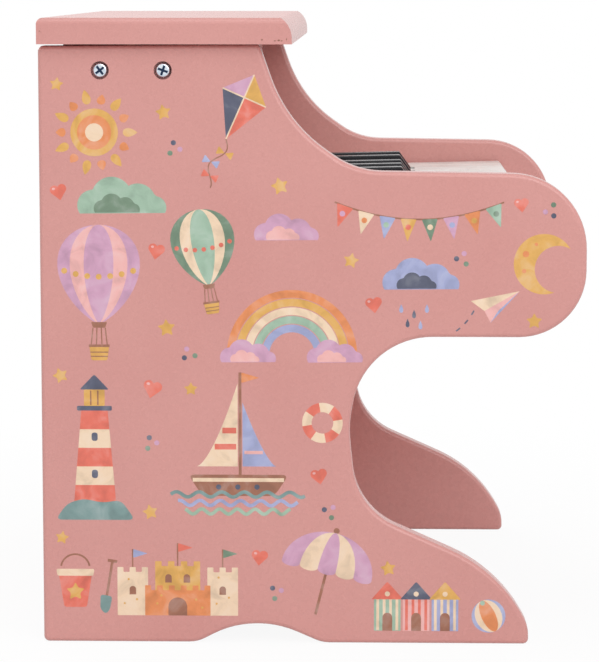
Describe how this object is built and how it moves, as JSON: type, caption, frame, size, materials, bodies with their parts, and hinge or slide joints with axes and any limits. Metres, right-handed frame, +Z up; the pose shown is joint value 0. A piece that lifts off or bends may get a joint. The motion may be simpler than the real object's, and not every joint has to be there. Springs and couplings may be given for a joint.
{
  "type": "toy piano",
  "caption": "Small upright toy piano with shaped side panels, a lid, and spring-returned keys that swing hammers against steel tone bars.",
  "frame": {"origin": "on the floor, under the middle of the piano's box", "axes": "+X along the keyboard towards the high notes, +Y towards the back, +Z up"},
  "size_m": [0.302, 0.253, 0.2921],
  "materials": {
    "pink_paint": "satin paint",
    "white_key": "satin paint",
    "black_key": "satin paint",
    "bare_wood": "bare",
    "felt": "felt",
    "steel": "brushed",
    "zinc": "zinc plated",
    "hammer_plastic": "matte"
  },
  "bodies": {
    "case": {"back_panel": "pink_paint", "back_rest_rail": "bare_wood", "dowel_pins": "bare_wood", "front_panel": "pink_paint", "hammer_rod": "steel", "key_bed": "pink_paint", "key_felts": "felt", "key_pivot_rod": "steel", "key_slip": "pink_paint", "key_springs": "steel", "left_side_panel": "pink_paint", "lid": "pink_paint", "lower_panel": "pink_paint", "music_ledge": "pink_paint", "right_side_panel": "pink_paint", "side_screws": "zinc", "spring_rail": "bare_wood", "tone_bar_felts": "felt", "tone_bar_pins": "steel", "tone_bars": "steel", "tone_rails": "bare_wood"},
    "key_01_c": {"key_01_c": "white_key"},
    "key_02_c_sharp": {"key_02_c_sharp": "black_key"},
    "key_03_d": {"key_03_d": "white_key"},
    "key_04_d_sharp": {"key_04_d_sharp": "black_key"},
    "key_05_e": {"key_05_e": "white_key"},
    "key_06_f": {"key_06_f": "white_key"},
    "key_07_f_sharp": {"key_07_f_sharp": "black_key"},
    "key_08_g": {"key_08_g": "white_key"},
    "key_09_g_sharp": {"key_09_g_sharp": "black_key"},
    "key_10_a": {"key_10_a": "white_key"},
    "key_11_a_sharp": {"key_11_a_sharp": "black_key"},
    "key_12_b": {"key_12_b": "white_key"},
    "key_13_c": {"key_13_c": "white_key"},
    "key_14_c_sharp": {"key_14_c_sharp": "black_key"},
    "key_15_d": {"key_15_d": "white_key"},
    "key_16_d_sharp": {"key_16_d_sharp": "black_key"},
    "key_17_e": {"key_17_e": "white_key"},
    "key_18_f": {"key_18_f": "white_key"},
    "hammer_01_c": {"hammer_01_c": "hammer_plastic"},
    "hammer_02_c_sharp": {"hammer_02_c_sharp": "hammer_plastic"},
    "hammer_03_d": {"hammer_03_d": "hammer_plastic"},
    "hammer_04_d_sharp": {"hammer_04_d_sharp": "hammer_plastic"},
    "hammer_05_e": {"hammer_05_e": "hammer_plastic"},
    "hammer_06_f": {"hammer_06_f": "hammer_plastic"},
    "hammer_07_f_sharp": {"hammer_07_f_sharp": "hammer_plastic"},
    "hammer_08_g": {"hammer_08_g": "hammer_plastic"},
    "hammer_09_g_sharp": {"hammer_09_g_sharp": "hammer_plastic"},
    "hammer_10_a": {"hammer_10_a": "hammer_plastic"},
    "hammer_11_a_sharp": {"hammer_11_a_sharp": "hammer_plastic"},
    "hammer_12_b": {"hammer_12_b": "hammer_plastic"},
    "hammer_13_c": {"hammer_13_c": "hammer_plastic"},
    "hammer_14_c_sharp": {"hammer_14_c_sharp": "hammer_plastic"},
    "hammer_15_d": {"hammer_15_d": "hammer_plastic"},
    "hammer_16_d_sharp": {"hammer_16_d_sharp": "hammer_plastic"},
    "hammer_17_e": {"hammer_17_e": "hammer_plastic"},
    "hammer_18_f": {"hammer_18_f": "hammer_plastic"}
  },
  "joints": [
    {"name": "key_01_c_press", "type": "hinge", "parent": "case", "child": "key_01_c", "pos_m": [0, 0.0305, 0.2], "axis": [1, 0, 0], "range_deg": [0, 3], "stiffness_Nm_per_rad": 0.5, "springref_deg": -3.44, "deforming": ["key_springs"]},
    {"name": "key_02_c_sharp_press", "type": "hinge", "parent": "case", "child": "key_02_c_sharp", "pos_m": [0, 0.0305, 0.2], "axis": [1, 0, 0], "range_deg": [0, 3], "stiffness_Nm_per_rad": 0.5, "springref_deg": -3.44, "deforming": ["key_springs"]},
    {"name": "key_03_d_press", "type": "hinge", "parent": "case", "child": "key_03_d", "pos_m": [0, 0.0305, 0.2], "axis": [1, 0, 0], "range_deg": [0, 3], "stiffness_Nm_per_rad": 0.5, "springref_deg": -3.44, "deforming": ["key_springs"]},
    {"name": "key_04_d_sharp_press", "type": "hinge", "parent": "case", "child": "key_04_d_sharp", "pos_m": [0, 0.0305, 0.2], "axis": [1, 0, 0], "range_deg": [0, 3], "stiffness_Nm_per_rad": 0.5, "springref_deg": -3.44, "deforming": ["key_springs"]},
    {"name": "key_05_e_press", "type": "hinge", "parent": "case", "child": "key_05_e", "pos_m": [0, 0.0305, 0.2], "axis": [1, 0, 0], "range_deg": [0, 3], "stiffness_Nm_per_rad": 0.5, "springref_deg": -3.44, "deforming": ["key_springs"]},
    {"name": "key_06_f_press", "type": "hinge", "parent": "case", "child": "key_06_f", "pos_m": [0, 0.0305, 0.2], "axis": [1, 0, 0], "range_deg": [0, 3], "stiffness_Nm_per_rad": 0.5, "springref_deg": -3.44, "deforming": ["key_springs"]},
    {"name": "key_07_f_sharp_press", "type": "hinge", "parent": "case", "child": "key_07_f_sharp", "pos_m": [0, 0.0305, 0.2], "axis": [1, 0, 0], "range_deg": [0, 3], "stiffness_Nm_per_rad": 0.5, "springref_deg": -3.44, "deforming": ["key_springs"]},
    {"name": "key_08_g_press", "type": "hinge", "parent": "case", "child": "key_08_g", "pos_m": [0, 0.0305, 0.2], "axis": [1, 0, 0], "range_deg": [0, 3], "stiffness_Nm_per_rad": 0.5, "springref_deg": -3.44, "deforming": ["key_springs"]},
    {"name": "key_09_g_sharp_press", "type": "hinge", "parent": "case", "child": "key_09_g_sharp", "pos_m": [0, 0.0305, 0.2], "axis": [1, 0, 0], "range_deg": [0, 3], "stiffness_Nm_per_rad": 0.5, "springref_deg": -3.44, "deforming": ["key_springs"]},
    {"name": "key_10_a_press", "type": "hinge", "parent": "case", "child": "key_10_a", "pos_m": [0, 0.0305, 0.2], "axis": [1, 0, 0], "range_deg": [0, 3], "stiffness_Nm_per_rad": 0.5, "springref_deg": -3.44, "deforming": ["key_springs"]},
    {"name": "key_11_a_sharp_press", "type": "hinge", "parent": "case", "child": "key_11_a_sharp", "pos_m": [0, 0.0305, 0.2], "axis": [1, 0, 0], "range_deg": [0, 3], "stiffness_Nm_per_rad": 0.5, "springref_deg": -3.44, "deforming": ["key_springs"]},
    {"name": "key_12_b_press", "type": "hinge", "parent": "case", "child": "key_12_b", "pos_m": [0, 0.0305, 0.2], "axis": [1, 0, 0], "range_deg": [0, 3], "stiffness_Nm_per_rad": 0.5, "springref_deg": -3.44, "deforming": ["key_springs"]},
    {"name": "key_13_c_press", "type": "hinge", "parent": "case", "child": "key_13_c", "pos_m": [0, 0.0305, 0.2], "axis": [1, 0, 0], "range_deg": [0, 3], "stiffness_Nm_per_rad": 0.5, "springref_deg": -3.44, "deforming": ["key_springs"]},
    {"name": "key_14_c_sharp_press", "type": "hinge", "parent": "case", "child": "key_14_c_sharp", "pos_m": [0, 0.0305, 0.2], "axis": [1, 0, 0], "range_deg": [0, 3], "stiffness_Nm_per_rad": 0.5, "springref_deg": -3.44, "deforming": ["key_springs"]},
    {"name": "key_15_d_press", "type": "hinge", "parent": "case", "child": "key_15_d", "pos_m": [0, 0.0305, 0.2], "axis": [1, 0, 0], "range_deg": [0, 3], "stiffness_Nm_per_rad": 0.5, "springref_deg": -3.44, "deforming": ["key_springs"]},
    {"name": "key_16_d_sharp_press", "type": "hinge", "parent": "case", "child": "key_16_d_sharp", "pos_m": [0, 0.0305, 0.2], "axis": [1, 0, 0], "range_deg": [0, 3], "stiffness_Nm_per_rad": 0.5, "springref_deg": -3.44, "deforming": ["key_springs"]},
    {"name": "key_17_e_press", "type": "hinge", "parent": "case", "child": "key_17_e", "pos_m": [0, 0.0305, 0.2], "axis": [1, 0, 0], "range_deg": [0, 3], "stiffness_Nm_per_rad": 0.5, "springref_deg": -3.44, "deforming": ["key_springs"]},
    {"name": "key_18_f_press", "type": "hinge", "parent": "case", "child": "key_18_f", "pos_m": [0, 0.0305, 0.2], "axis": [1, 0, 0], "range_deg": [0, 3], "stiffness_Nm_per_rad": 0.5, "springref_deg": -3.44, "deforming": ["key_springs"]},
    {"name": "hammer_01_c_swing", "type": "hinge", "parent": "case", "child": "hammer_01_c", "pos_m": [0, 0.0485, 0.215], "axis": [1, 0, 0], "range_deg": [0, 7.8]},
    {"name": "hammer_02_c_sharp_swing", "type": "hinge", "parent": "case", "child": "hammer_02_c_sharp", "pos_m": [0, 0.0485, 0.215], "axis": [1, 0, 0], "range_deg": [0, 7.8]},
    {"name": "hammer_03_d_swing", "type": "hinge", "parent": "case", "child": "hammer_03_d", "pos_m": [0, 0.0485, 0.215], "axis": [1, 0, 0], "range_deg": [0, 7.8]},
    {"name": "hammer_04_d_sharp_swing", "type": "hinge", "parent": "case", "child": "hammer_04_d_sharp", "pos_m": [0, 0.0485, 0.215], "axis": [1, 0, 0], "range_deg": [0, 7.8]},
    {"name": "hammer_05_e_swing", "type": "hinge", "parent": "case", "child": "hammer_05_e", "pos_m": [0, 0.0485, 0.215], "axis": [1, 0, 0], "range_deg": [0, 7.8]},
    {"name": "hammer_06_f_swing", "type": "hinge", "parent": "case", "child": "hammer_06_f", "pos_m": [0, 0.0485, 0.215], "axis": [1, 0, 0], "range_deg": [0, 7.8]},
    {"name": "hammer_07_f_sharp_swing", "type": "hinge", "parent": "case", "child": "hammer_07_f_sharp", "pos_m": [0, 0.0485, 0.215], "axis": [1, 0, 0], "range_deg": [0, 7.8]},
    {"name": "hammer_08_g_swing", "type": "hinge", "parent": "case", "child": "hammer_08_g", "pos_m": [0, 0.0485, 0.215], "axis": [1, 0, 0], "range_deg": [0, 7.8]},
    {"name": "hammer_09_g_sharp_swing", "type": "hinge", "parent": "case", "child": "hammer_09_g_sharp", "pos_m": [0, 0.0485, 0.215], "axis": [1, 0, 0], "range_deg": [0, 7.8]},
    {"name": "hammer_10_a_swing", "type": "hinge", "parent": "case", "child": "hammer_10_a", "pos_m": [0, 0.0485, 0.215], "axis": [1, 0, 0], "range_deg": [0, 7.8]},
    {"name": "hammer_11_a_sharp_swing", "type": "hinge", "parent": "case", "child": "hammer_11_a_sharp", "pos_m": [0, 0.0485, 0.215], "axis": [1, 0, 0], "range_deg": [0, 7.8]},
    {"name": "hammer_12_b_swing", "type": "hinge", "parent": "case", "child": "hammer_12_b", "pos_m": [0, 0.0485, 0.215], "axis": [1, 0, 0], "range_deg": [0, 7.8]},
    {"name": "hammer_13_c_swing", "type": "hinge", "parent": "case", "child": "hammer_13_c", "pos_m": [0, 0.0485, 0.215], "axis": [1, 0, 0], "range_deg": [0, 7.8]},
    {"name": "hammer_14_c_sharp_swing", "type": "hinge", "parent": "case", "child": "hammer_14_c_sharp", "pos_m": [0, 0.0485, 0.215], "axis": [1, 0, 0], "range_deg": [0, 7.8]},
    {"name": "hammer_15_d_swing", "type": "hinge", "parent": "case", "child": "hammer_15_d", "pos_m": [0, 0.0485, 0.215], "axis": [1, 0, 0], "range_deg": [0, 7.8]},
    {"name": "hammer_16_d_sharp_swing", "type": "hinge", "parent": "case", "child": "hammer_16_d_sharp", "pos_m": [0, 0.0485, 0.215], "axis": [1, 0, 0], "range_deg": [0, 7.8]},
    {"name": "hammer_17_e_swing", "type": "hinge", "parent": "case", "child": "hammer_17_e", "pos_m": [0, 0.0485, 0.215], "axis": [1, 0, 0], "range_deg": [0, 7.8]},
    {"name": "hammer_18_f_swing", "type": "hinge", "parent": "case", "child": "hammer_18_f", "pos_m": [0, 0.0485, 0.215], "axis": [1, 0, 0], "range_deg": [0, 7.8]}
  ],
  "couplings": [
    {"joint": "hammer_01_c_swing", "follows": "key_01_c_press", "ratio": 2.6},
    {"joint": "hammer_02_c_sharp_swing", "follows": "key_02_c_sharp_press", "ratio": 2.6},
    {"joint": "hammer_03_d_swing", "follows": "key_03_d_press", "ratio": 2.6},
    {"joint": "hammer_04_d_sharp_swing", "follows": "key_04_d_sharp_press", "ratio": 2.6},
    {"joint": "hammer_05_e_swing", "follows": "key_05_e_press", "ratio": 2.6},
    {"joint": "hammer_06_f_swing", "follows": "key_06_f_press", "ratio": 2.6},
    {"joint": "hammer_07_f_sharp_swing", "follows": "key_07_f_sharp_press", "ratio": 2.6},
    {"joint": "hammer_08_g_swing", "follows": "key_08_g_press", "ratio": 2.6},
    {"joint": "hammer_09_g_sharp_swing", "follows": "key_09_g_sharp_press", "ratio": 2.6},
    {"joint": "hammer_10_a_swing", "follows": "key_10_a_press", "ratio": 2.6},
    {"joint": "hammer_11_a_sharp_swing", "follows": "key_11_a_sharp_press", "ratio": 2.6},
    {"joint": "hammer_12_b_swing", "follows": "key_12_b_press", "ratio": 2.6},
    {"joint": "hammer_13_c_swing", "follows": "key_13_c_press", "ratio": 2.6},
    {"joint": "hammer_14_c_sharp_swing", "follows": "key_14_c_sharp_press", "ratio": 2.6},
    {"joint": "hammer_15_d_swing", "follows": "key_15_d_press", "ratio": 2.6},
    {"joint": "hammer_16_d_sharp_swing", "follows": "key_16_d_sharp_press", "ratio": 2.6},
    {"joint": "hammer_17_e_swing", "follows": "key_17_e_press", "ratio": 2.6},
    {"joint": "hammer_18_f_swing", "follows": "key_18_f_press", "ratio": 2.6}
  ]
}
